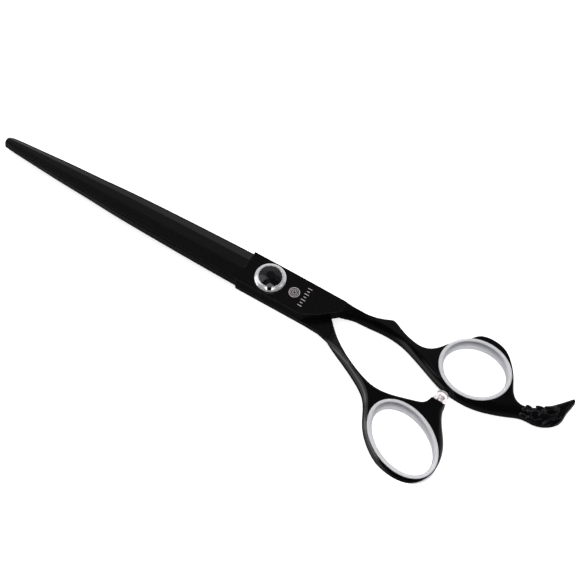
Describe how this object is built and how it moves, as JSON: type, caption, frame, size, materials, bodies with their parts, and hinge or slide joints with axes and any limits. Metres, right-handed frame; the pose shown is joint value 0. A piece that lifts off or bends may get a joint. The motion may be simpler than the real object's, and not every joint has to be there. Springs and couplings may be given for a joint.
{
  "type": "hair cutting shears",
  "caption": "Hair cutting shears with two ground blades on an adjustable jewelled pivot, cast ring handles with soft inserts, a finger rest and a bumper between the rings.",
  "frame": {"origin": "on the blade pivot axis, in the plane where the two blades meet", "axes": "+X from the blade tips towards the handles, +Y towards the finger ring side, +Z out of the front face that carries the tension dial"},
  "size_m": [0.1961, 0.056, 0.0081],
  "materials": {
    "black_steel": "semi-gloss black coating over ground steel",
    "soft_insert": "translucent whitish elastomer, satin",
    "clear_bumper": "clear soft plastic, glossy",
    "plain_steel": "turned steel",
    "bearing_bronze": "sintered bronze",
    "white_polymer": "matt bearing polymer",
    "dial_chrome": "bright chrome plate",
    "black_stone": "faceted black glass stone, polished"
  },
  "bodies": {
    "finger_half": {"finger_blade": "black_steel", "finger_handle": "black_steel", "finger_ring_insert": "soft_insert", "pivot_bushing": "bearing_bronze", "friction_washer": "white_polymer", "blade_washer": "white_polymer"},
    "thumb_half": {"thumb_blade": "black_steel", "thumb_handle": "black_steel", "thumb_ring_insert": "soft_insert", "bumper": "clear_bumper", "bumper_stud": "plain_steel", "pivot_screw": "plain_steel", "thrust_washer": "plain_steel", "spring_washer": "plain_steel"},
    "click_plate_body": {"click_plate": "plain_steel"},
    "dial": {"tension_dial": "dial_chrome", "dial_gem": "black_stone", "click_balls": "plain_steel"}
  },
  "joints": [
    {"name": "blade_pivot", "type": "hinge", "parent": "finger_half", "child": "thumb_half", "pos_m": [0, 0, 0], "axis": [0, 0, -1], "range_deg": [0, 140]},
    {"name": "plate_lift", "type": "slide", "parent": "thumb_half", "child": "click_plate_body", "axis": [0, 0, 1], "range_m": [-0.000125, 0.000375], "deforming": ["spring_washer"]},
    {"name": "dial_turn", "type": "hinge", "parent": "click_plate_body", "child": "dial", "pos_m": [0, 0, 0], "axis": [0, 0, 1], "range_deg": [-90, 270]}
  ],
  "couplings": [
    {"joint": "dial_turn", "follows": "plate_lift", "rad_per_m": 12566}
  ]
}
